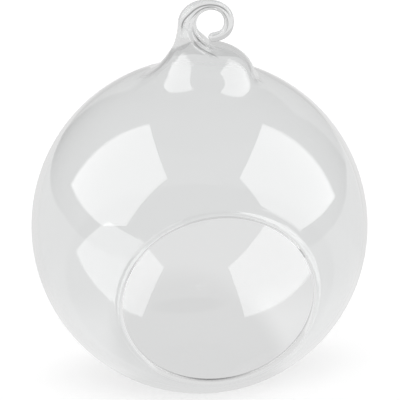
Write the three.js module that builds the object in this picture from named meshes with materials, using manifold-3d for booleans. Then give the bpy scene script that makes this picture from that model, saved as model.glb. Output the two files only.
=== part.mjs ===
// Hanging glass globe with a side mouth, a hollow crown and a twisted glass hook.
// Millimetres, +Z up, origin at the centre of the flat foot, mouth facing -Y.
import * as THREE from "three";
import { mergeVertices } from "three/addons/utils/BufferGeometryUtils.js";
import Module from "manifold-3d";

const degrees = Math.PI / 180;

// Globe: a blown sphere with a pressed flat foot
const globeRadius = 60;
const wall = 1.5;
const footFlatRadius = 14;
const footBlendRadius = 12;
const floorThickness = 2.2;
const innerBlendRadius = 10;

// Mouth: a round opening in the front wall with a fire-polished lip
const mouthTilt = 3.5 * degrees;
const lipCircleRadius = 33.9;
const lipWidth = 2.5;
const lipThickness = 2.1;
const lipGap = 0.3;
const cutterOverrun = 10;

// Seat: the level joint between the globe and the crown's skirt
const skirtRadius = 30;

// Crown: the hollow dome that closes the globe's neck and leans to the right.
// Its heights are measured from the level where the globe is as wide as baseRadius.
const baseRadius = 20;
const crownRadius = 17;
const crownLean = 3;
const domeHeight = 13.4;
const domeSquareness = 2;
const frontDepth = 15.2;
const frontHeight = 12.6;
const frontSquareness = 1.42;
const backDepth = 17.6;
const planPoint = 1.12;
const planShift = 2.15;
const planStartHeight = 2;
const crownWall = 1.4;
const wallFadeDepth = 2;
const wallFadeHeight = 8;

// Stem: the crown's left flank rises straight into it, and its right side leaves the dome
const flankRadius = 26.1;
const sideFlankRadius = 17;
const sideFlankHeight = 9;
const flankEdgeBlend = 0.4;
const neckHeight = 11.6;
const neckSoftness = 4;
const crownTopHeight = 15.4;
const stemHalfWidth = 3.15;
const stemDepthTaper = 0.3;
const funnelLength = 3;
const rootCover = 1;

// Fillets between the globe and the crown, as the spread of a moving average
const filletFront = 3;
const filletBack = 5;
const filletRight = 2.45;
const filletLeft = 1.2;
const filletReach = 3.2;
const sideStartDepth = 3.6;
const sideOverrun = 4;

// Hook: the solid rod that the stem is drawn into, curled round a hole
const curlCentreX = 3.7;
const curlCentreHeight = 21.8;
const curlHoleRadius = 4.85;
const curlEndAngle = -79 * degrees;
const tipCurlIn = 0.95;
const rodHalfWidth = 1.68;
const taperShare = 0.4;
const tipShare = 0.2;

// Folds: grooves left in the stem and hook by twisting the hot glass
const foldCount = 5;
const foldDepth = 0.16;
const foldTwist = 70 * degrees;
const foldPhase = -58 * degrees;
const foldStartHeight = 8;
const foldFullHeight = 17.4;
const foldLossAtTip = 0.6;

// Facets
const globeSides = 64;
const globeArcStep = 6.2 * degrees;
const lipSides = 72;
const lipSectionSides = 12;
const sectionSides = 36;
const crownRings = 18;
const hollowRings = 14;
const funnelRings = 4;
const rootRings = 3;
const fineRows = 60;
const columnStep = 0.25;
const curlRings = 34;
const tipRings = 4;

// Heights and radii that follow from the sizes above
const centreHeight =
  footBlendRadius + Math.sqrt((globeRadius - footBlendRadius) ** 2 - footFlatRadius ** 2);
const innerRadius = globeRadius - wall;
const midWallRadius = globeRadius - wall / 2;
const seatAboveCentre = Math.sqrt(globeRadius ** 2 - skirtRadius ** 2);
const seatInnerRadius = Math.sqrt(innerRadius ** 2 - seatAboveCentre ** 2);
const baseAboveCentre = Math.sqrt(globeRadius ** 2 - baseRadius ** 2);
const baseHeight = centreHeight + baseAboveCentre;
const stemLeftX = curlCentreX - curlHoleRadius - 2 * stemHalfWidth;
const funnelTopHeight = crownTopHeight + funnelLength;
const hookStartHeight = funnelTopHeight + rootCover;
const sectionAngles = [];
for (let s = 0; s < sectionSides; s += 1) sectionAngles.push((s / sectionSides) * 360 * degrees);

const wasm = await Module();
wasm.setup();

function mix(a, b, t) {
  return a + (b - a) * t;
}

function smooth(edge0, edge1, x) {
  const t = Math.min(Math.max((x - edge0) / (edge1 - edge0), 0), 1);
  return t * t * (3 - 2 * t);
}

// Joins the seams and poles of a geometry, and drops the triangles that collapse there.
function plainGeometry(geometry) {
  geometry.deleteAttribute("normal");
  geometry.deleteAttribute("uv");
  const merged = mergeVertices(geometry, 1e-4);
  const kept = [];
  const index = merged.index.array;
  for (let i = 0; i < index.length; i += 3) {
    const [a, b, c] = [index[i], index[i + 1], index[i + 2]];
    if (a !== b && b !== c && c !== a) kept.push(a, b, c);
  }
  merged.setIndex(kept);
  merged.computeVertexNormals();
  return merged;
}

function solidOf(geometry) {
  const plain = plainGeometry(geometry);
  return new wasm.Manifold(
    new wasm.Mesh({
      numProp: 3,
      vertProperties: new Float32Array(plain.attributes.position.array),
      triVerts: new Uint32Array(plain.index.array),
    }),
  );
}

function geometryOf(solid) {
  const mesh = solid.getMesh();
  const geometry = new THREE.BufferGeometry();
  geometry.setAttribute("position", new THREE.BufferAttribute(mesh.vertProperties, 3));
  geometry.setIndex(new THREE.BufferAttribute(mesh.triVerts, 1));
  geometry.computeVertexNormals();
  return geometry;
}

// A closed body through rings of points, each end closed to a point or a flat.
// Every ring runs anticlockwise as seen from the end that the loft grows towards.
function loft(rings, startPoint, endPoint) {
  const sides = rings[0].length;
  const positions = [];
  rings.forEach((ring) => ring.forEach((p) => positions.push(p.x, p.y, p.z)));
  const start = positions.length / 3;
  positions.push(startPoint.x, startPoint.y, startPoint.z);
  positions.push(endPoint.x, endPoint.y, endPoint.z);
  const index = [];
  for (let r = 0; r + 1 < rings.length; r += 1) {
    for (let s = 0; s < sides; s += 1) {
      const next = (s + 1) % sides;
      const [a, b] = [r * sides + s, r * sides + next];
      const [c, d] = [a + sides, b + sides];
      index.push(a, b, d, a, d, c);
    }
  }
  const last = (rings.length - 1) * sides;
  for (let s = 0; s < sides; s += 1) {
    const next = (s + 1) % sides;
    index.push(start, next, s);
    index.push(start + 1, last + s, last + next);
  }
  const geometry = new THREE.BufferGeometry();
  geometry.setAttribute("position", new THREE.Float32BufferAttribute(positions, 3));
  geometry.setIndex(index);
  geometry.computeVertexNormals();
  return geometry;
}

function middleOf(ring) {
  const middle = new THREE.Vector3();
  ring.forEach((point) => middle.add(point));
  return middle.divideScalar(ring.length);
}

// Points of an arc in the profile plane, from one angle to another, both ends included.
function arc(centreR, centreZ, radius, from, to) {
  const steps = Math.max(2, Math.ceil(Math.abs(to - from) / globeArcStep));
  const points = [];
  for (let i = 0; i <= steps; i += 1) {
    const angle = mix(from, to, i / steps);
    points.push(
      new THREE.Vector2(centreR + radius * Math.cos(angle), centreZ + radius * Math.sin(angle)),
    );
  }
  return points;
}

// Half of the globe's section: flat, blend and sphere, from the axis to the crown's seat.
function globeCurve(radius, flatHeight, blend) {
  const blendHeight = flatHeight + blend;
  const drop = centreHeight - blendHeight;
  const flatRadius = Math.sqrt((radius - blend) ** 2 - drop ** 2);
  const meet = Math.atan2(-drop, flatRadius);
  const top = Math.asin(seatAboveCentre / radius);
  return [
    new THREE.Vector2(0, flatHeight),
    ...arc(flatRadius, blendHeight, blend, -90 * degrees, meet),
    ...arc(0, centreHeight, radius, meet, top).slice(1),
  ];
}

// Mouth frame: its own +Y is the mouth's axis, pointing out of the globe.
const mouthGroup = new THREE.Group();
mouthGroup.position.set(0, 0, centreHeight);
mouthGroup.rotation.x = 180 * degrees + mouthTilt;
mouthGroup.updateMatrix();
const lipAngle = Math.asin(lipCircleRadius / midWallRadius);
const mouthCutAngle = lipAngle + (lipWidth / 2 + lipGap) / midWallRadius;

// A cone from the globe's centre, so that the cut edge is square to the wall.
function mouthCutter() {
  const reach = globeRadius + cutterOverrun;
  const profile = [
    new THREE.Vector2(0, 0),
    new THREE.Vector2(reach * Math.tan(mouthCutAngle), reach),
    new THREE.Vector2(0, reach),
  ];
  return new THREE.LatheGeometry(profile, globeSides).applyMatrix4(mouthGroup.matrix);
}

function globeShell() {
  const outer = globeCurve(globeRadius, 0, footBlendRadius);
  const inner = globeCurve(innerRadius, floorThickness, innerBlendRadius);
  const profile = [...outer, ...inner.reverse()];
  const turned = new THREE.LatheGeometry(profile, globeSides).rotateX(90 * degrees);
  return geometryOf(solidOf(turned).subtract(solidOf(mouthCutter())));
}

// The lip's rounded section lies along the wall and is revolved round the mouth's axis.
function mouthLip() {
  const radial = new THREE.Vector2(Math.sin(lipAngle), Math.cos(lipAngle));
  const along = new THREE.Vector2(Math.cos(lipAngle), -Math.sin(lipAngle));
  const centre = radial.clone().multiplyScalar(midWallRadius);
  const profile = [];
  for (let i = 0; i <= lipSectionSides; i += 1) {
    const angle = (i / lipSectionSides) * 360 * degrees;
    profile.push(
      centre
        .clone()
        .addScaledVector(along, (Math.cos(angle) * lipWidth) / 2)
        .addScaledVector(radial, (Math.sin(angle) * lipThickness) / 2),
    );
  }
  return plainGeometry(new THREE.LatheGeometry(profile, lipSides));
}

// Half of a dome that is square to its base and closes at its top.
function bell(height, top, half, squareness) {
  const rise = Math.min(Math.max(height / top, 0), 1);
  return half * Math.sqrt(1 - rise ** squareness);
}

// Left side: an arc that leaves the globe's curve and turns upright at the stem.
// Below the point where it touches the globe it runs on inside the globe.
function flankEdge(height, radius) {
  const arcX = stemLeftX - radius;
  const arcAboveCentre = Math.sqrt((globeRadius + radius) ** 2 - arcX ** 2);
  const contact = (globeRadius * arcAboveCentre) / (globeRadius + radius) - baseAboveCentre;
  const held = Math.max(height, contact);
  const below = Math.max(arcAboveCentre - baseAboveCentre - held, 0);
  return arcX + Math.sqrt(radius ** 2 - below ** 2) - 2 * (held - height);
}

// The curl's hole, with a slope below it
function holeEdge(height) {
  const below = curlCentreHeight - height;
  const slopeStart = curlHoleRadius * Math.SQRT1_2;
  return below < slopeStart
    ? curlCentreX - Math.sqrt(curlHoleRadius ** 2 - below ** 2)
    : curlCentreX - slopeStart + (below - slopeStart);
}

// Right side: the dome, then the slope up to the hole.
function rightEdge(height) {
  const dome = crownLean + bell(height, domeHeight, crownRadius, domeSquareness);
  return mix(dome, holeEdge(height), smooth(neckHeight, crownTopHeight, height));
}

// Front and back: the dome, blended into the stem by a soft maximum.
function depthOf(dome, height) {
  const stem = stemHalfWidth + stemDepthTaper * Math.max(curlCentreHeight - height, 0);
  const softness = neckSoftness * (1 - smooth(neckHeight, curlCentreHeight, height));
  return (dome + stem + Math.sqrt((dome - stem) ** 2 + softness ** 2)) / 2;
}

// Narrow grooves between the folds, as a share of the section's size.
function foldFactor(angle, turned, strength) {
  const wave = 0.5 + 0.5 * Math.cos(foldCount * (angle - foldPhase - turned));
  return 1 - foldDepth * strength * wave ** 3;
}

// A point of the crown's or stem's side, at a height and an angle round it.
function bodyPoint(height, angle, foldShare) {
  const [cosine, sine] = [Math.cos(angle), Math.sin(angle)];
  const flank = flankEdge(height, flankRadius);
  const upper = smooth(sideFlankHeight, crownTopHeight, height);
  const side = mix(flankEdge(height, sideFlankRadius), flank, upper);
  const right = rightEdge(height);
  const low = 1 - smooth(planStartHeight, neckHeight, height);
  const middle = (flank + right) / 2 + planShift * low;
  const left = mix(side, flank, smooth(-flankEdgeBlend, flankEdgeBlend, sine));
  const edge = cosine < 0 ? left : right;
  const depth =
    sine < 0
      ? depthOf(bell(height, frontHeight, frontDepth, frontSquareness), height)
      : depthOf(bell(height, domeHeight, backDepth, domeSquareness), height);
  const strength = foldShare * smooth(foldStartHeight, foldFullHeight, height);
  const factor = foldFactor(angle, (-foldTwist * height) / curlCentreHeight / 2, strength);
  const width = (edge - middle) * Math.abs(cosine) ** (1 + (planPoint - 1) * low);
  return new THREE.Vector3(middle + width * factor, depth * sine * factor, baseHeight + height);
}

function bodyRing(height, foldShare) {
  return sectionAngles.map((angle) => bodyPoint(height, angle, foldShare));
}

// Points at equal steps along a line of points
function evenly(points, count) {
  const lengths = [0];
  for (let i = 1; i < points.length; i += 1) {
    lengths.push(lengths[i - 1] + points[i].distanceTo(points[i - 1]));
  }
  const even = [];
  let k = 0;
  for (let i = 0; i <= count; i += 1) {
    const target = (lengths.at(-1) * i) / count;
    while (k < points.length - 2 && lengths[k + 1] < target) k += 1;
    const share = (target - lengths[k]) / (lengths[k + 1] - lengths[k]);
    even.push(points[k].clone().lerp(points[k + 1], Math.min(share, 1)));
  }
  return even;
}

function filletAt(angle) {
  const facing = Math.sin(angle) < 0 ? filletFront : filletBack;
  const sideways = Math.cos(angle);
  if (sideways > 0) return mix(facing, filletRight, sideways);
  return mix(facing, filletLeft, smooth(0, 1, -sideways));
}

// A line's points, averaged with their neighbours near its corner.
function roundedAt(points, corner, step, spread) {
  const reach = Math.ceil((3 * spread) / step);
  const last = points.length - 1;
  const mirrored = (end, i) => points[end].clone().multiplyScalar(2).sub(points[2 * end - i]);
  const beyond = (i) => {
    if (i < 0) return mirrored(0, i);
    return i > last ? mirrored(last, i) : points[i];
  };
  return points.map((point, i) => {
    const near = Math.exp(-((((i - corner) * step) / (filletReach * spread)) ** 4));
    if (near < 1e-3) return point;
    const average = new THREE.Vector3();
    let total = 0;
    for (let k = -reach; k <= reach; k += 1) {
      const weight = Math.exp(-0.5 * ((k * step) / spread) ** 2);
      average.addScaledVector(beyond(i + k), weight);
      total += weight;
    }
    return point.clone().lerp(average.divideScalar(total), near);
  });
}

// One line up the crown's outside: over the globe from the seat, then up the crown's side.
function crownColumn(angle, foldShare) {
  const centre = new THREE.Vector3(0, 0, centreHeight);
  const side = [];
  for (let h = -sideStartDepth; h < crownTopHeight + sideOverrun; h += columnStep / 4) {
    side.push(bodyPoint(h, angle, foldShare));
  }
  const firstOut = side.findLastIndex((point) => point.distanceTo(centre) < globeRadius) + 1;
  const meet = side[firstOut].clone().sub(centre);
  const meetTilt = Math.acos(meet.z / meet.length());
  const meetAngle = Math.atan2(meet.y, meet.x);
  const turn = Math.atan2(Math.sin(meetAngle - angle), Math.cos(meetAngle - angle));
  const seatTilt = Math.asin(skirtRadius / globeRadius);
  const ground = [];
  for (let i = 0; i < fineRows; i += 1) {
    const tilt = mix(seatTilt, meetTilt, i / fineRows);
    const around = angle + (turn * i) / fineRows;
    ground.push(
      new THREE.Vector3(Math.cos(around), Math.sin(around), 0)
        .multiplyScalar(globeRadius * Math.sin(tilt))
        .setZ(centreHeight + globeRadius * Math.cos(tilt)),
    );
  }
  const line = [...ground, ...side.slice(firstOut)];
  const lengthOf = (points) =>
    points.slice(1).reduce((sum, point, i) => sum + point.distanceTo(points[i]), 0);
  const length = lengthOf(line);
  const count = Math.round(length / columnStep);
  const step = length / count;
  const corner = lengthOf([...ground, side[firstOut]]) / step;
  const rounded = roundedAt(evenly(line, count), corner, step, filletAt(angle));
  const top = baseHeight + crownTopHeight;
  const kept = rounded.filter((point) => point.z < top - columnStep);
  return [...kept, bodyPoint(crownTopHeight, angle, foldShare)];
}

// Rings from lines that run up the crown
function ringsOf(columns) {
  return columns[0].map((_, row) => columns.map((column) => column[row]));
}

// The hollow lies a wall's thickness inside the crown, from the seat up.
function hollowColumns() {
  const columns = sectionAngles.map((angle) => evenly(crownColumn(angle, 0), fineRows));
  return columns.map((column, c) => {
    const next = columns[(c + 1) % sectionSides];
    const previous = columns[(c + sectionSides - 1) % sectionSides];
    const inside = column.map((point, row) => {
      const up = column[Math.min(row + 1, fineRows)].clone().sub(column[Math.max(row - 1, 0)]);
      const normal = next[row].clone().sub(previous[row]).cross(up).normalize();
      const fade = smooth(-wallFadeDepth, wallFadeHeight, point.z - baseHeight);
      const thickness = mix(wall, crownWall, fade);
      return point.clone().addScaledVector(normal, -thickness);
    });
    const seat = centreHeight + seatAboveCentre;
    const above = inside.filter((point) => point.z > seat + columnStep);
    const start = above[0].clone();
    start.multiplyScalar(seatInnerRadius / Math.hypot(start.x, start.y)).setZ(seat);
    return evenly([start, ...above], hollowRings);
  });
}

// The hollow ends as a funnel in the stem's root.
function funnelRing(share) {
  const ring = bodyRing(mix(crownTopHeight, funnelTopHeight, share), 0);
  const middle = middleOf(ring);
  const closing = 1 - share ** 2;
  return ring.map((point) => {
    const spoke = point.clone().sub(middle);
    spoke.setLength(spoke.length() - crownWall).multiplyScalar(closing);
    return middle.clone().add(spoke);
  });
}

function crownDome() {
  const hollow = ringsOf(hollowColumns());
  for (let i = 1; i < funnelRings; i += 1) hollow.push(funnelRing(i / funnelRings));
  const columns = sectionAngles.map((angle) => evenly(crownColumn(angle, 1), crownRings));
  const outside = ringsOf(columns);
  for (let i = 1; i <= rootRings; i += 1) {
    outside.push(bodyRing(mix(crownTopHeight, hookStartHeight, i / rootRings), 1));
  }
  return loft(
    [...hollow.reverse(), ...outside],
    middleOf(bodyRing(funnelTopHeight, 0)),
    middleOf(outside.at(-1)),
  );
}

// Sections of the curl turn about the middle of the hook's hole.
function curlSection(angle, scale) {
  const along = 1 - (angle - curlEndAngle) / (180 * degrees - curlEndAngle);
  const halfWidth = mix(stemHalfWidth, rodHalfWidth, smooth(0, taperShare, along));
  const reach = curlHoleRadius + halfWidth - tipCurlIn * smooth(1 - tipShare, 1, along);
  const outwards = new THREE.Vector3(Math.cos(angle), 0, Math.sin(angle));
  const forwards = new THREE.Vector3(Math.sin(angle), 0, -Math.cos(angle));
  const centre = new THREE.Vector3(curlCentreX, 0, baseHeight + curlCentreHeight)
    .addScaledVector(outwards, reach)
    .addScaledVector(forwards, halfWidth * Math.sqrt(1 - scale * scale));
  const strength = 1 - foldLossAtTip * smooth(taperShare, 1, along);
  const turned = -foldTwist / 2 - foldTwist * along;
  const ring = [];
  for (const around of sectionAngles) {
    const size = halfWidth * scale * foldFactor(around, turned, strength);
    ring.push(
      centre
        .clone()
        .addScaledVector(outwards, -size * Math.cos(around))
        .add(new THREE.Vector3(0, size * Math.sin(around), 0)),
    );
  }
  return ring;
}

function hangingHook() {
  const rings = [];
  rings.push(bodyRing(hookStartHeight, 1));
  for (let i = 0; i <= curlRings; i += 1) {
    rings.push(curlSection(mix(180 * degrees, curlEndAngle, i / curlRings), 1));
  }
  for (let i = 1; i < tipRings; i += 1) {
    rings.push(curlSection(curlEndAngle, Math.cos((i / tipRings) * 90 * degrees)));
  }
  return loft(rings, middleOf(rings[0]), middleOf(curlSection(curlEndAngle, 0)));
}

function glass(name, geometry) {
  const material = new THREE.MeshStandardMaterial({
    color: 0xdde5e4,
    roughness: 0.05,
    transparent: true,
    opacity: 0.35,
  });
  const mesh = new THREE.Mesh(geometry, material);
  mesh.name = name;
  return mesh;
}

const terrarium = new THREE.Group();
terrarium.add(glass("globe_shell", globeShell()));
terrarium.add(glass("crown_dome", crownDome()));
terrarium.add(glass("hanging_hook", hangingHook()));
mouthGroup.add(glass("mouth_lip", mouthLip()));
terrarium.add(mouthGroup);

export default terrarium;
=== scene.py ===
# A clear, hand-blown hanging globe with a side mouth, standing on its flat foot.
# Sizes in the shape functions are millimetres, and every Blender object is in metres.
import math

import bpy
import numpy as np
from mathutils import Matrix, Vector


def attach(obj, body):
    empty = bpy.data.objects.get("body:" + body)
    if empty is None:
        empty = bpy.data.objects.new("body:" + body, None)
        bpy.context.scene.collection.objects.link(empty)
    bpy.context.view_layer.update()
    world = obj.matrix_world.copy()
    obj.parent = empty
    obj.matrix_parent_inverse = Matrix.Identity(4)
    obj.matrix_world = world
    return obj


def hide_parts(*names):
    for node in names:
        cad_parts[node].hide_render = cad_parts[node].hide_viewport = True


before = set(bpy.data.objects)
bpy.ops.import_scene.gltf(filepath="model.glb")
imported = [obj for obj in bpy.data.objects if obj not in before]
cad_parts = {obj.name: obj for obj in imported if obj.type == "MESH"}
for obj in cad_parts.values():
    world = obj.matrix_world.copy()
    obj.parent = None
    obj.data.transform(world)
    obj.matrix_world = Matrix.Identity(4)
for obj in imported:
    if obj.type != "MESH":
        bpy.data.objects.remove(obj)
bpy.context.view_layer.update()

MM = 0.001
TURN = 2 * math.pi

# Globe
globe_radius = 60.0
wall = 1.5
foot_flat_radius = 14.0
foot_blend_radius = 12.0
floor_thickness = 2.2
inner_blend_radius = 10.0

# Mouth and its fire-polished bead
mouth_tilt = math.radians(3.5)
lip_circle_radius = 33.9
lip_width = 2.5
lip_thickness = 2.1
lip_blend_end = 4.6
lip_blend = 0.16

# Crown: heights are measured from the level where the globe is 40 mm across
skirt_angle = math.radians(30)
base_radius = 20.0
crown_radius = 17.0
crown_lean = 3.0
dome_height = 13.4
dome_squareness = 2.0
front_depth = 15.2
front_height = 12.6
front_squareness = 1.42
back_depth = 17.6
back_flare = 10.9
flare_low = -4.0
flare_top = 6.0
plan_point = 1.12
plan_shift = 2.15
plan_start_height = 2.0
lean_height = 9.0
profile_softness = 0.8
side_flank_radius = 20.0
side_blend = 0.4
side_blend_low = 7.0
side_blend_high = 20.0
fillet_front = 3.0
fillet_back = 5.0
fillet_right = 2.45
fillet_left = 2.6
fillet_spread = 3.2
neck_softness = 4.0

# The crown's hollow: its wall, where that sets in, and how it closes to a tip
crown_wall = 1.4
crown_wall_low = -2.0
crown_wall_high = 8.0
funnel_length = 1.0
closing_start = 9.0
closing_power = 3.0

# Stem and hook
flank_radius = 26.1
neck_height = 11.6
crown_top_height = 15.4
stem_half_width = 3.15
stem_depth_taper = 0.4
taper_start = 2.0
curl_centre_x = 3.7
curl_centre_height = 21.8
curl_hole_radius = 4.85
curl_end_angle = math.radians(-79)
tip_curl_in = 0.95
rod_half_width = 1.68
taper_share = 0.4
tip_share = 0.2

# Folds left in the stem and hook by twisting the hot glass: the angle round the stem
# in degrees, the depth, the half width, and where the fold starts and ends. Lengths
# along the stem go on round the curl.
folds = [
    (-126, 0.34, 0.50, 18.5, 46.0),
    (-92, 0.34, 0.45, 12.3, 38.0),
    (-60, 0.38, 0.42, 14.6, 32.0),
    (-41, 0.24, 0.36, 13.2, 27.0),
]

# Painted shade: dark lines along the stem and curl, mostly by the folds: the angle, the
# half width, the start and end, and how dark the line is
painted_fold_lines = [
    (-132, 0.30, 21.0, 44.0, 0.95),
    (-82, 0.34, 12.2, 18.5, 0.98),
    (-101, 0.28, 26.0, 37.0, 0.98),
    (-56, 0.38, 14.6, 21.5, 1.00),
    (-38, 0.20, 13.4, 18.0, 0.60),
    (-12, 0.22, 18.5, 22.5, 0.90),
    (-90, 0.15, 40.5, 52.0, 0.80),
    (-74, 0.13, 43.0, 50.0, 0.70),
]

# Folds and the painted dark lines fade at their ends, and turn with the glass at the
# stem's root and at the start of the curl
fold_fade = 1.5
fold_fade_out = 4.5
root_twist = math.radians(20)
root_twist_low = 12.5
root_twist_high = 17.5
loop_twist = math.radians(22)
loop_twist_end = 27.0

# Painted shade, dark lines on the inner edge of the mouth's bead: the place round the
# mouth and the half width along the edge, the place round the bead from its tip to the
# inside and the half width there, all in degrees, and how dark the line is
painted_lip_lines = [
    (-95, 30, 28, 36, 0.99),
    (95, 28, 3, 22, 0.75),
    (155, 5, 12, 28, 0.95),
    (34, 5, 12, 28, 0.95),
    (-20, 38, 32, 22, 0.55),
    (-150, 30, 32, 16, 0.35),
]

# Painted shade makes the crown's glass a little darker: by how much, and where that sets in
crown_shade = 0.04
crown_shade_low = -4.0
crown_shade_high = 5.0

# Mesh: rows and columns
columns = 200
column_gather = 0.5
globe_rows = 92
lip_rows = 26
crown_rows = 60
funnel_rows = 16
stem_rows = 20
curl_rows = 84
tip_rows = 8

# Mesh: samples on the way to the rows, and how far the globe's steps are evened out
fine_steps = 2000
even_round = 0.8
even_along = 0.85
profile_low = -8.0
profile_high = 27.0
profile_step = 0.05
profile_fade = 3.0
average_reach = 3
column_step = 0.25
column_samples = 400
column_below = 0.4
column_above = 4.0
ground_samples = 60

# What follows from the sizes above
centre_height = foot_blend_radius + math.sqrt(
    (globe_radius - foot_blend_radius) ** 2 - foot_flat_radius ** 2
)
inner_radius = globe_radius - wall
mid_wall_radius = globe_radius - wall / 2
base_above_centre = math.sqrt(globe_radius ** 2 - base_radius ** 2)
base_height = centre_height + base_above_centre
funnel_top_height = crown_top_height + funnel_length
stem_left_x = curl_centre_x - curl_hole_radius - 2 * stem_half_width
curl_length = (math.pi - curl_end_angle) * (curl_hole_radius + stem_half_width)
lip_angle = math.asin(lip_circle_radius / mid_wall_radius)
lip_tip_angle = lip_angle - lip_width / 2 / mid_wall_radius
mouth_angle = lip_tip_angle + lip_blend_end / mid_wall_radius
mouth_axis = Vector((0, -math.cos(mouth_tilt), -math.sin(mouth_tilt)))
mouth_up = Vector((0, -math.sin(mouth_tilt), math.cos(mouth_tilt)))
mouth_side = Vector((1, 0, 0))


def mix(a, b, t):
    return a + (b - a) * t


def smooth(edge0, edge1, x):
    t = np.clip((x - edge0) / (edge1 - edge0), 0, 1)
    return t * t * (3 - 2 * t)


def soft_maximum(a, b, softness):
    return (a + b + np.sqrt((a - b) ** 2 + softness ** 2)) / 2


# Equal steps along a curve of directions, blended with equal steps of its parameter
def even_steps(curve, start, end, count, share):
    lengths = [0.0]
    previous = curve(start)
    for i in range(1, fine_steps + 1):
        point = curve(mix(start, end, i / fine_steps))
        lengths.append(lengths[-1] + (point - previous).length)
        previous = point
    steps = []
    k = 0
    for i in range(count + 1):
        target = lengths[-1] * i / count
        while k < fine_steps - 1 and lengths[k + 1] < target:
            k += 1
        part = (target - lengths[k]) / (lengths[k + 1] - lengths[k])
        even = mix(start, end, (k + part) / fine_steps)
        steps.append(mix(mix(start, end, i / count), even, share))
    return steps


# Circles on the sphere from the mouth to the crown, none of which cross.
# The sphere is unrolled on to a plane from its lowest point, where the two circles
# have two limit points, and the circles between them belong to the same family.
def sphere_rows(crown_angle, rows):
    tilt = math.pi / 2 + mouth_tilt
    near = math.tan((tilt - mouth_angle) / 2)
    far = math.tan((tilt + mouth_angle) / 2)
    crown = math.tan(crown_angle / 2)
    middle = (near + far) / 2
    radius = (far - near) / 2
    total = (crown ** 2 + middle ** 2 - radius ** 2) / middle
    p = (total - math.sqrt(total ** 2 - 4 * crown ** 2)) / 2
    q = crown ** 2 / p

    def level_of(x):
        return math.log(abs((x - p) / (x - q)))

    def direction(level, turn):
        eta = complex(math.exp(level) * math.cos(turn), math.exp(level) * math.sin(turn))
        zeta = (p - q * eta) / (1 - eta)
        s = abs(zeta) ** 2
        return Vector((2 * zeta.imag, -2 * zeta.real, 1 - s)) / (1 + s)

    first, last = level_of(near), level_of(crown)
    halfway = (first + last) / 2
    turns = even_steps(lambda turn: direction(halfway, turn), 0, TURN, columns, even_round)
    far_turn = 0 if direction(halfway, 0).y > direction(halfway, math.pi).y else math.pi
    levels = even_steps(lambda level: direction(level, far_turn), first, last, rows, even_along)
    return [[direction(level, turn) for turn in turns[:-1]] for level in levels]


# Distance from the globe's centre to its surface, with the foot pressed flat
def reach(direction, radius, flat_height, blend):
    if direction.z >= 0:
        return radius
    blend_drop = centre_height - flat_height - blend
    flat_radius = math.sqrt((radius - blend) ** 2 - blend_drop ** 2)
    across = math.hypot(direction.x, direction.y)
    down = -direction.z
    if across * (centre_height - flat_height) <= flat_radius * down:
        return (centre_height - flat_height) / down
    if across * blend_drop >= flat_radius * down:
        return radius
    along = across * flat_radius + down * blend_drop
    gap = flat_radius ** 2 + blend_drop ** 2 - blend ** 2
    return along + math.sqrt(along ** 2 - gap)


def globe_point(direction, radius, flat_height, blend):
    point = direction * reach(direction, radius, flat_height, blend)
    return Vector((point.x, point.y, point.z + centre_height))


# Half the glass's thickness at a distance from the lip's edge: a bead, then the wall
def lip_half_thickness(distance):
    half = lip_width / 2
    bead = 0.0
    if distance < lip_width:
        bead = lip_thickness / 2 * math.sqrt(max(1 - ((distance - half) / half) ** 2, 0))
    if distance < half:
        return bead
    return soft_maximum(bead, wall / 2, lip_blend)


# One ring of the bead, on the outside of the wall for side 1 and the inside for -1
def lip_ring(distance, side, turns):
    angle = lip_tip_angle + distance / mid_wall_radius
    radius = mid_wall_radius + side * lip_half_thickness(distance)
    ring = []
    for turn in turns:
        spoke = mouth_side * math.cos(turn) + mouth_up * math.sin(turn)
        direction = mouth_axis * math.cos(angle) + spoke * math.sin(angle)
        ring.append(direction * radius + Vector((0, 0, centre_height)))
    return ring


# Angles that go on round without a jump at half a turn
def unwrapped(angles):
    made = []
    for angle in angles:
        while made and angle - made[-1] > math.pi:
            angle -= TURN
        while made and angle - made[-1] < -math.pi:
            angle += TURN
        made.append(angle)
    return made


def lip_turns(row):
    return unwrapped([math.atan2(d.dot(mouth_up), d.dot(mouth_side)) for d in row])


def crown_angles(row):
    return unwrapped([math.atan2(d.y, d.x) for d in row])


def lip_distances():
    half = lip_width / 2
    round_rows = lip_rows // 2
    edge = [half * (1 - math.cos(math.pi / 2 * i / round_rows)) for i in range(round_rows)]
    rest = lip_rows - round_rows
    return edge + [mix(half, lip_blend_end, i / rest) for i in range(rest)]


# How much painted shade the bead gets along one of its rings, where 0 is clear
def lip_painted_shade(distance, side, turns):
    half = lip_width / 2
    if distance > half:
        return [0.0] * len(turns)
    round_bead = -side * math.degrees(math.acos(1 - distance / half))
    values = []
    for turn in turns:
        clear = 1.0
        for place, half_width, middle, half_across, dark_share in painted_lip_lines:
            away = (math.degrees(turn) - place + 180) % 360 - 180
            across = (round_bead - middle) / half_across
            clear *= 1 - dark_share * math.exp(-(away / half_width) ** 2 - across ** 2)
        values.append(1 - clear)
    return values


# Half an outline that closes at the top
def bell(height, top, half, squareness):
    rise = np.clip(height / top, 0, 1)
    return half * np.sqrt(1 - rise ** squareness)


# Left outline: an arc that leaves the globe's curve and turns upright at the stem
def flank_edge(height, radius):
    arc_x = stem_left_x - radius
    arc_above_centre = math.sqrt((globe_radius + radius) ** 2 - arc_x ** 2)
    contact = globe_radius * arc_above_centre / (globe_radius + radius) - base_above_centre
    held = np.maximum(height, contact)
    below = np.maximum(arc_above_centre - base_above_centre - held, 0)
    return arc_x + np.sqrt(radius ** 2 - below ** 2) - 2 * (held - height)


# The left side of the hook's hole, which goes on below it as a slope of 45 degrees
def hole_edge(height):
    below = curl_centre_height - height
    slope_start = curl_hole_radius * math.sqrt(0.5)
    held = np.clip(below, -curl_hole_radius, slope_start)
    round_part = np.sqrt(curl_hole_radius ** 2 - held ** 2)
    return curl_centre_x - round_part + np.maximum(below - slope_start, 0)


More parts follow.
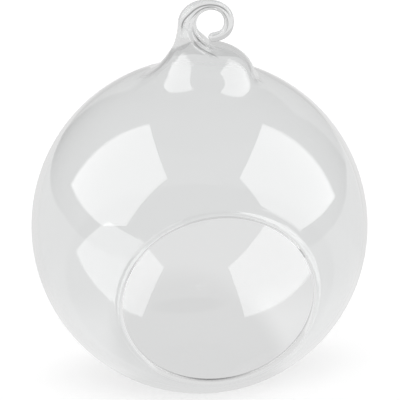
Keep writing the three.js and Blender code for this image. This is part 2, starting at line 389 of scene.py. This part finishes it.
# Right outline: the leaning dome, then the hook's hole
def right_edge(height):
    dome = crown_lean + bell(height, dome_height, crown_radius, dome_squareness)
    return mix(dome, hole_edge(height), smooth(neck_height, crown_top_height, height))


# Depths of the crown and stem to the front and to the back
def depths(height):
    below = np.maximum(curl_centre_height - height, 0)
    stem = stem_half_width + stem_depth_taper * below ** 2 / (below + taper_start)
    softness = neck_softness * (1 - smooth(neck_height, curl_centre_height, height))
    front = bell(height, front_height, front_depth, front_squareness)
    flare = np.maximum(flare_top - height, 0) / (flare_top - flare_low)
    back = bell(height, dome_height, back_depth, dome_squareness) + back_flare * flare ** 2
    return soft_maximum(front, stem, softness), soft_maximum(back, stem, softness)


# Middle line of the sections: it leans over steadily from the crown to the stem
def middle_line(height):
    held = np.minimum(height, lean_height)
    held = np.where(height > crown_top_height, height, held)
    low = 1 - smooth(plan_start_height, neck_height, held)
    middle = (flank_edge(held, flank_radius) + right_edge(held)) / 2 + plan_shift * low
    stem_middle = (flank_edge(crown_top_height, flank_radius) + right_edge(crown_top_height)) / 2
    share = (height - lean_height) / (crown_top_height - lean_height)
    leaning = mix(middle, stem_middle, np.clip(share, 0, 1))
    return np.where(height > crown_top_height, middle, leaning)


profile_levels = np.arange(profile_low, profile_high, profile_step)


# The profiles are softened by a moving average over the height, which fades out where
# the stem goes over into the curl.
def softened(profile):
    offsets = np.arange(-average_reach, average_reach, profile_step / profile_softness)
    weights = np.exp(-offsets ** 2 / 2)
    padded = np.pad(profile, len(offsets) // 2, "edge")
    even = np.convolve(padded, weights / weights.sum(), "same")
    even = even[len(offsets) // 2:][:len(profile)]
    plain = smooth(crown_top_height, crown_top_height + profile_fade, profile_levels)
    return mix(even, profile, plain)


right_profile = softened(right_edge(profile_levels))
middle_profile = softened(middle_line(profile_levels))
front_profile, back_profile = [softened(depth) for depth in depths(profile_levels)]


# Half the width of the crown or stem at a height
def section_size(height):
    right = np.interp(height, profile_levels, right_profile)
    return (right - flank_edge(height, flank_radius)) / 2


# How much of a line along the stem is present at the given angle and length
def line_share(angle, length, size, place, half_width, start, end):
    turned = root_twist * (1 - smooth(root_twist_low, root_twist_high, length))
    turned = turned + loop_twist * smooth(curl_centre_height, loop_twist_end, length)
    share = smooth(start - fold_fade, start + fold_fade, length)
    share = share * (1 - smooth(end - fold_fade_out, end + fold_fade, length))
    away = (angle - math.radians(place) - turned + math.pi) % TURN - math.pi
    return share * np.exp(-(away * size / half_width) ** 2)


# The folds take away this share of a section's size. Strength 0 leaves them out.
def fold_factor(angle, length, size, strength):
    factor = 1.0
    for place, depth, half_width, start, end in folds:
        share = line_share(angle, length, size, place, half_width, start, end)
        factor = factor - strength * share * depth / size
    return factor


# How much painted shade the crown, stem and curl get, where 0 is clear
def painted_shade_along(angle, length, size):
    low = 1 - smooth(crown_top_height, curl_centre_height, length)
    clear = 1 - crown_shade * smooth(crown_shade_low, crown_shade_high, length) * low
    for place, half_width, start, end, dark_share in painted_fold_lines:
        share = line_share(angle, length, size, place, half_width, start, end)
        clear = clear * (1 - dark_share * share)
    return 1 - clear


# Points of the crown's and stem's side at the given heights and angles round it
def body_points(height, angle, strength):
    height, angle = np.broadcast_arrays(np.asarray(height, float), np.asarray(angle, float))
    cosine, sine = np.cos(angle), np.sin(angle)
    left = flank_edge(height, flank_radius)
    straightened = smooth(side_blend_low, side_blend_high, height)
    side = mix(flank_edge(height, side_flank_radius), left, straightened)
    right = np.interp(height, profile_levels, right_profile)
    middle = np.interp(height, profile_levels, middle_profile)
    front = np.interp(height, profile_levels, front_profile)
    back = np.interp(height, profile_levels, back_profile)
    edge = np.where(cosine < 0, mix(side, left, smooth(-side_blend, side_blend, sine)), right)
    low = 1 - smooth(plan_start_height, neck_height, height)
    power = 1 + (plan_point - 1) * low
    factor = fold_factor(angle, height, section_size(height), strength)
    x = middle + (edge - middle) * np.abs(cosine) ** power * factor
    y = np.where(sine < 0, front, back) * sine * factor
    return np.stack([x, y, base_above_centre + height], axis=-1)


def lengths_along(line):
    steps = np.linalg.norm(np.diff(line, axis=0), axis=1)
    return np.concatenate([[0], np.cumsum(steps)])


def points_along(line, length, wanted):
    return np.stack([np.interp(wanted, length, line[:, k]) for k in range(3)], axis=-1)


# The softness of the corner between globe and crown, by the angle round the crown
def fillet_at(angle):
    cosine = math.cos(angle)
    facing = fillet_front if math.sin(angle) < 0 else fillet_back
    if cosine > 0:
        return mix(facing, fillet_right, cosine)
    return mix(facing, fillet_left, smooth(0, 1, -cosine))


# The line goes on past both its ends as its own mirror image, so that they stay in place
def moving_average(points, spread):
    reach_steps = int(average_reach * spread / column_step) + 1
    offsets = np.arange(-reach_steps, reach_steps + 1)
    weights = np.exp(-0.5 * (offsets * column_step / spread) ** 2)
    weights /= weights.sum()
    padded = np.vstack([
        2 * points[0] - points[reach_steps:0:-1],
        points,
        2 * points[-1] - points[-2:-reach_steps - 2:-1],
    ])
    return np.stack([np.convolve(padded[:, k], weights, "valid") for k in range(3)], axis=-1)


# One column of the crown: up the globe from the skirt, then up the crown's side,
# with the corner between them rounded by a moving average along the column.
def crown_column(start_angle, end_angle, strength):
    lowest = flare_low - column_below
    height = np.linspace(lowest, crown_top_height + column_above, column_samples)
    angle = mix(start_angle, end_angle, smooth(0, crown_top_height, height))
    side = body_points(height, angle, strength)
    inside = np.nonzero(np.linalg.norm(side, axis=1) < globe_radius)[0]
    side = side[inside[-1] + 1:]
    meet = side[0] / np.linalg.norm(side[0])
    meet_tilt = math.acos(meet[2])
    turn = start_angle - math.atan2(meet[1], meet[0])
    turn = (turn + math.pi) % TURN - math.pi
    share = np.linspace(0, 1, ground_samples)[:-1]
    tilt = mix(skirt_angle, meet_tilt, share)
    around = start_angle - turn * share
    across = np.sin(tilt)
    ground = np.stack([across * np.cos(around), across * np.sin(around), np.cos(tilt)], axis=-1)
    line = np.vstack([ground * globe_radius, side])
    length = lengths_along(line)
    even = np.arange(0, length[-1], column_step)
    points = points_along(line, length, even)
    spread = fillet_at(start_angle)
    corner = length[len(ground)]
    near = np.exp(-((even - corner) / (fillet_spread * spread)) ** 4)[:, None]
    points = points * (1 - near) + moving_average(points, spread) * near
    top = np.nonzero(points[:, 2] <= base_above_centre + crown_top_height)[0][-1]
    last = body_points(crown_top_height, end_angle, strength)
    points = np.vstack([points[:top], last])
    length = lengths_along(points)
    return points_along(points, length, np.linspace(0, length[-1], crown_rows + 1))


# Rows of the crown's outside, from the skirt's circle up to the stem
def crown_grid(start_angles, end_angles, strength):
    made = [crown_column(a, b, strength) for a, b in zip(start_angles, end_angles)]
    return np.array(made).transpose(1, 0, 2)


# The hollow lies a wall's thickness inside the crown, measured along the normals,
# and closes as a funnel in the stem.
def hollow_grid(start_angles, even):
    crown = crown_grid(start_angles, even, 0)
    shares = np.linspace(0, 1, funnel_rows + 1)[1:]
    levels = mix(crown_top_height, funnel_top_height, shares)
    stem = np.array([body_points(level, even, 0) for level in levels])
    outside = np.vstack([crown, stem])
    along = np.gradient(outside, axis=0)
    around = np.roll(outside, -1, axis=1) - np.roll(outside, 1, axis=1)
    normals = np.cross(around, along)
    normals /= np.linalg.norm(normals, axis=-1, keepdims=True)
    normals[0] = outside[0] / globe_radius
    height = outside[..., 2] - base_above_centre
    thickness = mix(wall, crown_wall, smooth(crown_wall_low, crown_wall_high, height))
    hollow = outside - normals * thickness[..., None]
    middles = hollow.mean(axis=1, keepdims=True)
    share = np.clip((height - closing_start) / (funnel_top_height - closing_start), 0, 1)
    return middles + (hollow - middles) * (1 - share ** closing_power)[..., None]


def curl_half_width(along):
    return mix(stem_half_width, rod_half_width, smooth(0, taper_share, along))


# Sections of the curl turn about the middle of the hook's hole. A scale under 1 gives
# the sections of the rounded tip.
def curl_section(angle, scale, angles):
    along = 1 - (angle - curl_end_angle) / (math.pi - curl_end_angle)
    half_width = curl_half_width(along)
    out = curl_hole_radius + half_width - tip_curl_in * smooth(1 - tip_share, 1, along)
    outwards = Vector((math.cos(angle), 0, math.sin(angle)))
    forwards = Vector((math.sin(angle), 0, -math.cos(angle)))
    centre = Vector((curl_centre_x, 0, base_height + curl_centre_height))
    centre += outwards * out + forwards * half_width * math.sqrt(1 - scale * scale)
    length = curl_centre_height + curl_length * along
    ring = []
    for around in angles:
        size = half_width * scale * fold_factor(around, length, half_width, 1)
        offset = outwards * -size * math.cos(around)
        ring.append(centre + offset + Vector((0, size * math.sin(around), 0)))
    return ring


def middle_of(ring):
    total = Vector((0, 0, 0))
    for point in ring:
        total += point
    return total / len(ring)


# Equal angles all round, from the first one on
def evened(angles):
    turn = TURN if angles[-1] > angles[0] else -TURN
    return [angles[0] + turn * i / columns for i in range(columns)]


# Columns gathered on the front of the stem, where its folds are
def gathered(angles):
    return [angle - column_gather * math.cos(angle) for angle in angles]


def mesh_object(name, points, faces):
    mesh = bpy.data.meshes.new(name)
    mesh.from_pydata(points, [], faces)
    mesh.update()
    made = bpy.data.objects.new(name, mesh)
    bpy.context.collection.objects.link(made)
    return made


# Rings joined to a closed mesh with a point at each end, its faces turned outwards
def closed_mesh(name, rings, start, end):
    points = [point * MM for ring in rings for point in ring]
    points += [start * MM, end * MM]
    faces = []
    for r in range(len(rings) - 1):
        for s in range(columns):
            a, b = r * columns + s, r * columns + (s + 1) % columns
            faces.append((a, b, b + columns, a + columns))
    first_pole = len(rings) * columns
    last = (len(rings) - 1) * columns
    for s in range(columns):
        following = (s + 1) % columns
        faces.append((first_pole, following, s))
        faces.append((first_pole + 1, last + s, last + following))
    piece = mesh_object(name, points, faces)
    mesh = piece.data
    volume = 0.0
    for face in mesh.polygons:
        corners = [mesh.vertices[i].co for i in face.vertices]
        for i in range(1, len(corners) - 1):
            volume += corners[0].dot(corners[i].cross(corners[i + 1])) / 6
    if volume < 0:
        mesh.flip_normals()
    mesh.polygons.foreach_set("use_smooth", [True] * len(mesh.polygons))
    mesh.validate()
    return piece


def raised(points):
    return [Vector((x, y, z + centre_height)) for x, y, z in points]


# The rings run from the hollow's tip down the inside of the wall, round the bead and up
# the outside to the hook's tip.
def blown_globe():
    rows = sphere_rows(skirt_angle, globe_rows)
    start_angles = crown_angles(rows[-1])
    even = gathered(evened(start_angles))
    turns = lip_turns(rows[0])
    outside = crown_grid(start_angles, even, 1)
    hollow = hollow_grid(start_angles, even)
    rings = []
    painted_darkness = {}
    for row in hollow[-2:0:-1]:
        rings.append(raised(row))
    for row in reversed(rows):
        rings.append(
            [globe_point(d, inner_radius, floor_thickness, inner_blend_radius) for d in row]
        )
    distances = lip_distances()
    bead = [(d, -1) for d in reversed(distances)] + [(d, 1) for d in distances[1:]]
    for distance, side in bead:
        painted_darkness[len(rings)] = lip_painted_shade(distance, side, turns)
        rings.append(lip_ring(distance, side, turns))
    for row in rows:
        rings.append([globe_point(d, globe_radius, 0, foot_blend_radius) for d in row])
    start_angles, even = np.array(start_angles), np.array(even)
    for row in outside[1:-1]:
        height = row[:, 2] - base_above_centre
        angle = mix(start_angles, even, smooth(0, crown_top_height, height))
        painted_darkness[len(rings)] = painted_shade_along(angle, height, section_size(height))
        rings.append(raised(row))
    for i in range(stem_rows):
        height = mix(crown_top_height, curl_centre_height, i / stem_rows)
        painted_darkness[len(rings)] = painted_shade_along(even, height, section_size(height))
        rings.append(raised(body_points(height, even, 1)))
    for i in range(curl_rows + 1):
        share = i / curl_rows
        length = curl_centre_height + curl_length * share
        painted_darkness[len(rings)] = painted_shade_along(even, length, curl_half_width(share))
        rings.append(curl_section(mix(math.pi, curl_end_angle, share), 1, even))
    for i in range(1, tip_rows):
        scale = math.cos(math.pi / 2 * i / tip_rows)
        rings.append(curl_section(curl_end_angle, scale, even))
    top = Vector(hollow[-1][0]) + Vector((0, 0, centre_height))
    end = middle_of(curl_section(curl_end_angle, 0, even))
    piece = closed_mesh("blown_glass_globe", rings, top, end)
    # Painted shade: the dark lines and the crown's darker tint go into a point attribute
    painted_shade = piece.data.attributes.new("painted_shade", "FLOAT", "POINT")
    for row, values in painted_darkness.items():
        for i, value in enumerate(values):
            painted_shade.data[row * columns + i].value = value
    return piece


# Functions for material nodes
def new_material(name):
    material = bpy.data.materials.new(name)
    material.use_nodes = True
    material.node_tree.nodes.clear()
    return material, material.node_tree.nodes, material.node_tree.links


def feed(links, socket, value):
    if isinstance(value, (int, float)):
        socket.default_value = value
    else:
        links.new(value, socket)


def math_maker(nodes, links):
    def math_node(operation, *values):
        node = nodes.new("ShaderNodeMath")
        node.operation = operation
        for socket, value in zip(node.inputs, values):
            feed(links, socket, value)
        return node.outputs[0]

    return math_node


# A soft step from 0 to 1 at an edge
def step_maker(nodes, links):
    def step(value, edge, softness):
        node = nodes.new("ShaderNodeMapRange")
        node.interpolation_type = "SMOOTHSTEP"
        node.inputs["From Min"].default_value = edge - softness
        node.inputs["From Max"].default_value = edge + softness
        links.new(value, node.inputs["Value"])
        return node.outputs["Result"]

    return step


def emission(nodes, links, strength):
    light = nodes.new("ShaderNodeEmission")
    feed(links, light.inputs["Strength"], strength)
    return light.outputs[0]


def mixed(nodes, links, share, first, second):
    blend = nodes.new("ShaderNodeMixShader")
    links.new(share, blend.inputs["Fac"])
    links.new(first, blend.inputs[1])
    links.new(second, blend.inputs[2])
    return blend.outputs[0]


def show(nodes, links, surface):
    output = nodes.new("ShaderNodeOutputMaterial")
    links.new(surface, output.inputs["Surface"])


# Clear glass. Shadow and diffuse rays pass straight through with a slight loss,
# so that the floor gets the faint shadow of a clear object. The painted shade attribute
# mixes the tint towards near black. A ray that is still in the glass after two
# reflections meets a fixed grey glow instead, which is painted light.
glass_tint = (0.975, 0.98, 0.98, 1)
painted_shade_tint = (0.02, 0.02, 0.02, 1)
pass_tint = (0.93, 0.93, 0.93, 1)
refraction = 1.47
trapped_after = 1.5
trapped_grey = 0.74


def clear_glass():
    material, nodes, links = new_material("clear_glass")
    math_node = math_maker(nodes, links)
    glass = nodes.new("ShaderNodeBsdfPrincipled")
    # Painted shade: the attribute mixes the glass's tint towards near black
    painted_shade = nodes.new("ShaderNodeAttribute")
    painted_shade.attribute_name = "painted_shade"
    tint = nodes.new("ShaderNodeMix")
    tint.data_type = "RGBA"
    tint.inputs["A"].default_value = glass_tint
    tint.inputs["B"].default_value = painted_shade_tint
    links.new(painted_shade.outputs["Fac"], tint.inputs["Factor"])
    links.new(tint.outputs["Result"], glass.inputs["Base Color"])
    glass.inputs["Roughness"].default_value = 0.0
    glass.inputs["IOR"].default_value = refraction
    glass.inputs["Transmission Weight"].default_value = 1.0
    see_through = nodes.new("ShaderNodeBsdfTransparent")
    see_through.inputs["Color"].default_value = pass_tint
    path = nodes.new("ShaderNodeLightPath")
    passing = math_node("MAXIMUM", path.outputs["Is Shadow Ray"], path.outputs["Is Diffuse Ray"])
    blend = mixed(nodes, links, passing, glass.outputs[0], see_through.outputs[0])
    # Painted light: rays trapped in the glass meet a fixed grey glow
    trapped = math_node("GREATER_THAN", path.outputs["Glossy Depth"], trapped_after)
    grey = emission(nodes, links, trapped_grey)
    show(nodes, links, mixed(nodes, links, trapped, blend, grey))
    return material


globe = blown_globe()
globe.data.materials.append(clear_glass())
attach(globe, "root")
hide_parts("globe_shell", "crown_dome", "hanging_hook", "mouth_lip")

# The camera looks this far to the right of the object's back
view_azimuth = math.radians(7.6)

# Levels of the surroundings: the paper and the sweep, the room to reflections on the
# outside of the glass and inside it, and beside the paper to rays that come straight
# through the glass. The room is darker than the table by room_share.
pale = 0.785
dark = 0.35
dark_inside = 0.68
dark_through = 0.5
room_share = 0.8

# A ray whose depth is less than this hasn't been reflected, or hasn't met the glass
no_bounce = 0.5

# White table in metres. The camera sees it lit, and with a glow of its own that grows
# with the square of the distance.
table_left = -1.4
table_right = 0.75
table_front = -1.2
table_back = 0.49
table_height = -0.0001
floor_share = 0.8
floor_glow = 0.296
far_glow = 0.3

# The soft oval shadow round the globe, in metres. An edge is a share of the oval's size.
shadow_middle = (0.0, -0.003)
shadow_half_width = 0.062
shadow_half_depth = 0.024
shadow_edge = 0.8
shadow_softness = 0.35
shadow_loss = 0.13

# The table as it is seen through the glass, with painted light and shade: a painted shadow
# darkens an oval patch under the globe, painted light brightens its sides, and a small
# painted dark spot lies behind the middle.
patch_middle = (0.0, 0.0)
patch_half_width = 0.0325
patch_half_depth = 0.068
patch_softness = 0.18
patch_loss = 0.07
side_gain = 0.09
gain_end = 0.04
gain_softness = 0.02
spot_middle = (0.001, 0.0425)
spot_half_width = 0.0135
spot_half_depth = 0.006
spot_softness = 0.3
spot_loss = 0.035

# The paper is a strip that widens away from the camera
paper_half_width = 0.1
paper_flare = 0.6
paper_softness = 0.02

# Softboxes: the directions from the globe's centre to their corners
softbox_distance = 1.6
softbox_strength = 2.55
left_softbox = [
    (-0.396, 0.334, 0.856),
    (-0.406, -0.407, 0.818),
    (-0.828, -0.471, 0.302),
    (-0.962, -0.211, 0.174),
    (-0.880, 0.446, 0.161),
]
right_softbox = [
    (0.569, 0.276, 0.775),
    (0.365, -0.481, 0.797),
    (0.580, -0.630, 0.517),
    (0.896, -0.428, 0.115),
    (0.976, 0.215, 0.042),
]


def softbox(name, corners):
    centre = Vector((0, 0, centre_height * MM))
    points = [centre + Vector(c).normalized() * softbox_distance for c in corners]
    panel = mesh_object(name, points, [tuple(range(len(points)))])
    material, nodes, links = new_material(name)
    show(nodes, links, emission(nodes, links, softbox_strength))
    panel.data.materials.append(material)
    panel.visible_camera = False


softbox("left_softbox", left_softbox)
softbox("right_softbox", right_softbox)


# How far out a place on the table is, in shares of an oval's size
def oval(math_node, x, y, middle, half_width, half_depth):
    across = math_node("DIVIDE", math_node("SUBTRACT", x, middle[0]), half_width)
    along = math_node("DIVIDE", math_node("SUBTRACT", y, middle[1]), half_depth)
    square = math_node("MULTIPLY_ADD", across, across, math_node("MULTIPLY", along, along))
    return math_node("SQRT", square)


# The share of the paper's level that is seen through the glass, with the painted shadow,
# light and dark spot near the globe
def near_globe(math_node, step, x, y):
    patch = oval(math_node, x, y, patch_middle, patch_half_width, patch_half_depth)
    off_patch = step(patch, 1.0, patch_softness)
    spot = oval(math_node, x, y, spot_middle, spot_half_width, spot_half_depth)
    off_spot = step(spot, 1.0, spot_softness)
    in_front = math_node("SUBTRACT", 1, step(y, gain_end, gain_softness))
    beside = math_node("MULTIPLY", off_patch, in_front)
    level = math_node("MULTIPLY_ADD", off_patch, patch_loss, 1 - patch_loss)
    level = math_node("MULTIPLY_ADD", beside, side_gain, level)
    return math_node("MULTIPLY_ADD", off_spot, spot_loss, math_node("SUBTRACT", level, spot_loss))


# 0 on the paper and 1 beside it
def beside_paper(math_node, step, x, y):
    ahead_x, ahead_y = math.sin(view_azimuth), math.cos(view_azimuth)
    ahead = math_node("MULTIPLY_ADD", x, ahead_x, math_node("MULTIPLY", y, ahead_y))
    across = math_node("MULTIPLY_ADD", x, ahead_y, math_node("MULTIPLY", y, -ahead_x))
    forwards = math_node("MAXIMUM", ahead, 0.0)
    allowed = math_node("MULTIPLY_ADD", forwards, paper_flare, paper_half_width)
    outside = math_node("SUBTRACT", math_node("ABSOLUTE", across), allowed)
    return step(outside, 0.0, paper_softness)


# The camera sees a white table with a soft shadow, painted into its colour and glow on top
# of the shadow the globe casts. Rays that come straight through the glass see the paper,
# with its painted light and shade near the globe, and grey beside it, and reflections see
# paper all over.
def floor_material():
    material, nodes, links = new_material("white_table")
    math_node = math_maker(nodes, links)
    step = step_maker(nodes, links)
    path = nodes.new("ShaderNodeLightPath")
    place = nodes.new("ShaderNodeNewGeometry")
    split = nodes.new("ShaderNodeSeparateXYZ")
    links.new(place.outputs["Position"], split.inputs[0])
    x, y = split.outputs["X"], split.outputs["Y"]
    ring = oval(math_node, x, y, shadow_middle, shadow_half_width, shadow_half_depth)
    off_shadow = step(ring, shadow_edge, shadow_softness)
    left = math_node("MULTIPLY_ADD", off_shadow, shadow_loss, 1 - shadow_loss)
    matt = nodes.new("ShaderNodeBsdfDiffuse")
    links.new(math_node("MULTIPLY", left, floor_share), matt.inputs["Color"])
    far = math_node("MULTIPLY_ADD", x, x, math_node("MULTIPLY", y, y))
    glow_left = math_node("MULTIPLY", left, floor_glow)
    glow = emission(nodes, links, math_node("MULTIPLY_ADD", far, far_glow, glow_left))
    seen = nodes.new("ShaderNodeAddShader")
    links.new(matt.outputs[0], seen.inputs[0])
    links.new(glow, seen.inputs[1])
    paper = math_node("MULTIPLY", near_globe(math_node, step, x, y), pale)
    straight = math_node("LESS_THAN", path.outputs["Glossy Depth"], no_bounce)
    greyer = math_node("MULTIPLY", beside_paper(math_node, step, x, y), straight)
    change = math_node("MULTIPLY", greyer, math_node("SUBTRACT", dark_through, paper))
    plain = emission(nodes, links, math_node("ADD", paper, change))
    show(nodes, links, mixed(nodes, links, path.outputs["Is Camera Ray"], plain, seen.outputs[0]))
    return material


def white_table():
    corners = [
        (table_left, table_front, table_height),
        (table_right, table_front, table_height),
        (table_right, table_back, table_height),
        (table_left, table_back, table_height),
    ]
    table = mesh_object("white_table", corners, [(0, 1, 2, 3)])
    table.data.materials.append(floor_material())


white_table()

# The room is white to the camera. Reflections see a dark or grey room with a pale sweep
# at the back. Rays that come straight through the glass see pale paper with grey beside
# it.
sweep_top = math.radians(22)
sweep_left = math.radians(-16)
sweep_right = math.radians(46)
paper_top = math.radians(25)
paper_spread = math.radians(50)
edge_softness = 0.03


def room():
    world = bpy.data.worlds.new("room")
    bpy.context.scene.world = world
    world.use_nodes = True
    nodes, links = world.node_tree.nodes, world.node_tree.links
    nodes.clear()
    math_node = math_maker(nodes, links)
    step = step_maker(nodes, links)
    coordinates = nodes.new("ShaderNodeTexCoord")
    split = nodes.new("ShaderNodeSeparateXYZ")
    links.new(coordinates.outputs["Generated"], split.inputs[0])
    x, y, z = split.outputs
    azimuth = math_node("ARCTAN2", x, y)

    def window(left, right, top):
        from_left = step(azimuth, left, edge_softness)
        to_right = math_node("SUBTRACT", 1, step(azimuth, right, edge_softness))
        below = math_node("SUBTRACT", 1, step(z, math.sin(top), edge_softness))
        return math_node("MULTIPLY", math_node("MULTIPLY", from_left, to_right), below)

    path = nodes.new("ShaderNodeLightPath")
    reflected = math_node("GREATER_THAN", path.outputs["Glossy Depth"], no_bounce)
    inside = math_node("GREATER_THAN", path.outputs["Transmission Depth"], no_bounce)
    sweep = window(sweep_left, sweep_right, sweep_top)
    paper = window(view_azimuth - paper_spread, view_azimuth + paper_spread, paper_top)
    change = math_node("MULTIPLY", math_node("SUBTRACT", sweep, paper), reflected)
    white = math_node("ADD", paper, change)
    room_grey = math_node("MULTIPLY_ADD", inside, dark_inside - dark, dark)
    shade_change = math_node("MULTIPLY", math_node("SUBTRACT", room_grey, dark_through), reflected)
    shade = math_node("ADD", shade_change, dark_through)
    level = math_node("MULTIPLY_ADD", white, math_node("SUBTRACT", pale, shade), shade)
    lit = math_node("MULTIPLY", level, room_share)
    strength = math_node("MAXIMUM", lit, path.outputs["Is Camera Ray"])
    background = nodes.new("ShaderNodeBackground")
    background.inputs["Color"].default_value = (1, 1, 1, 1)
    links.new(strength, background.inputs["Strength"])
    output = nodes.new("ShaderNodeOutputWorld")
    links.new(background.outputs[0], output.inputs["Surface"])


room()

# Camera: angles and place in metres, fitted to the globe's outline and its mouth
camera_elevation = math.radians(27.5)
camera_place = (-0.09311, -0.69919, 0.43535)
camera_lens = 201.15
camera_sensor = 36
camera_near = 0.01
camera_far = 100


def fitted_camera():
    data = bpy.data.cameras.new("camera")
    data.lens = camera_lens
    data.sensor_width = camera_sensor
    data.clip_start = camera_near
    data.clip_end = camera_far
    camera = bpy.data.objects.new("camera", data)
    bpy.context.collection.objects.link(camera)
    back = Vector((
        -math.sin(view_azimuth) * math.cos(camera_elevation),
        -math.cos(view_azimuth) * math.cos(camera_elevation),
        math.sin(camera_elevation),
    ))
    camera.rotation_mode = "QUATERNION"
    camera.rotation_quaternion = (-back).to_track_quat("-Z", "Y")
    camera.location = camera_place
    return camera


bpy.context.scene.camera = fitted_camera()

bpy.context.scene.view_settings.view_transform = "Standard"
